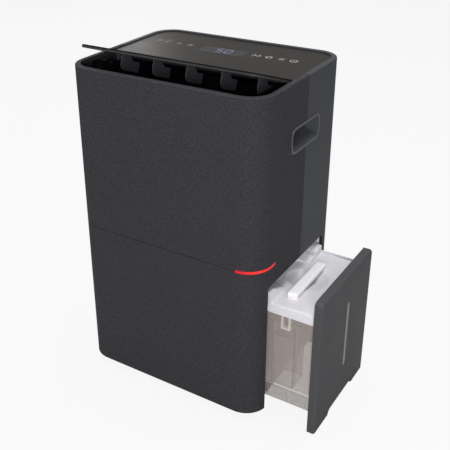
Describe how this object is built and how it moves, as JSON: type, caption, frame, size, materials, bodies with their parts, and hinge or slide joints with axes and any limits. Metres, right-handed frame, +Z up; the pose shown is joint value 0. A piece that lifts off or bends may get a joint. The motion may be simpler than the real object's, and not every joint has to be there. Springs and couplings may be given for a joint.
{
  "type": "dehumidifier",
  "caption": "Upright compressor dehumidifier with rounded charcoal casing, rear-hinged air outlet flap on top, touch glass, light strip and pull-out side water tank.",
  "frame": {"origin": "on the floor below the plan centre of the casing, with the tank pulled part way out to the right", "axes": "+Z up, -Y towards the front face, +X towards the side that the tank pulls out of"},
  "size_m": [0.4852, 0.3128, 0.6535],
  "materials": {
    "textured_charcoal": "fine moulded grain",
    "smooth_slate": "smooth satin",
    "dark_glass": "gloss, printed from behind",
    "black_plastic": "satin",
    "gloss_black": "semi gloss",
    "panel_grey": "smooth satin",
    "frosted_white": "frosted translucent",
    "white_plastic": "satin white",
    "smoky_clear": "smoky transparent plastic",
    "clear_plastic": "clear plastic",
    "level_clear": "brown smoked window",
    "red_light": "lit red light guide",
    "liner_white": "plain white",
    "rubber_black": "matt",
    "steel_black": "black enamel",
    "copper": "bare copper",
    "coil_aluminium": "bare fins",
    "galvanised": "zinc plated",
    "board_green": "circuit board",
    "screw_steel": "dark zinc",
    "net_black": "woven nylon net"
  },
  "bodies": {
    "housing": {"front_shell": "textured_charcoal", "rear_shell": "smooth_slate", "shell_screws": "screw_steel", "base_pan": "black_plastic", "feet": "rubber_black", "handle_pocket_right": "smooth_slate", "handle_pocket_left": "smooth_slate", "light_strip": "red_light", "light_carrier": "liner_white", "bay_liner": "liner_white", "mouth_trim": "liner_white", "tank_sensor": "black_plastic", "deck": "black_plastic", "compressor": "steel_black", "compressor_mounts": "rubber_black", "evaporator": "coil_aluminium", "condenser": "coil_aluminium", "discharge_pipe": "copper", "suction_pipe": "copper", "drip_tray": "liner_white", "blower_scroll": "black_plastic", "fan_motor": "galvanised", "outlet_duct": "black_plastic", "control_tray": "black_plastic", "control_board": "board_green", "display_module": "gloss_black", "control_glass": "dark_glass", "flap_motor": "black_plastic", "motor_screws": "screw_steel", "power_box": "black_plastic", "run_capacitor": "galvanised", "humidity_sensor": "black_plastic", "drain_spigot": "black_plastic", "cord_gland": "rubber_black"},
    "flap": {"outlet_flap": "gloss_black", "guide_vanes": "gloss_black"},
    "crank": {"flap_crank": "black_plastic"},
    "link": {"flap_link": "black_plastic"},
    "tank": {"tank_panel": "panel_grey", "level_window": "level_clear", "tank_body": "smoky_clear", "tank_lid": "frosted_white", "tank_handle": "white_plastic", "float_hanger": "white_plastic"},
    "float": {"tank_float": "clear_plastic"},
    "fan": {"fan_wheel": "black_plastic"},
    "filter": {"filter_grille": "smooth_slate", "filter_mesh": "net_black"},
    "cap": {"drain_cap": "black_plastic"}
  },
  "joints": [
    {"name": "flap_hinge", "type": "hinge", "parent": "housing", "child": "flap", "pos_m": [0, -0.031, 0.61375], "axis": [-1, 0, 0], "range_deg": [-20, 40]},
    {"name": "crank_turn", "type": "hinge", "parent": "housing", "child": "crank", "pos_m": [-0.165, -0.072, 0.59375], "axis": [-1, 0, 0], "range_deg": [-21, 41]},
    {"name": "link_swing", "type": "hinge", "parent": "crank", "child": "link", "pos_m": [-0.162, -0.07816, 0.57684], "axis": [-1, 0, 0], "range_deg": [-41, 21]},
    {"name": "tank_slide", "type": "slide", "parent": "housing", "child": "tank", "axis": [1, 0, 0], "range_m": [-0.1, 0.06]},
    {"name": "float_rise", "type": "slide", "parent": "tank", "child": "float", "axis": [0, 0, 1], "range_m": [0, 0.012]},
    {"name": "fan_spin", "type": "hinge", "parent": "housing", "child": "fan", "pos_m": [0, 0.035, 0.413], "axis": [0, 1, 0], "continuous": true},
    {"name": "filter_slide", "type": "slide", "parent": "housing", "child": "filter", "axis": [0, 1, 0], "range_m": [0, 0.06]},
    {"name": "drain_cap_turn", "type": "hinge", "parent": "housing", "child": "cap", "pos_m": [-0.11, 0.157, 0.063], "axis": [0, 1, 0], "range_deg": [0, 90]}
  ],
  "couplings": [
    {"joint": "crank_turn", "follows": "flap_hinge", "ratio": 1},
    {"joint": "link_swing", "follows": "flap_hinge", "ratio": -1}
  ]
}
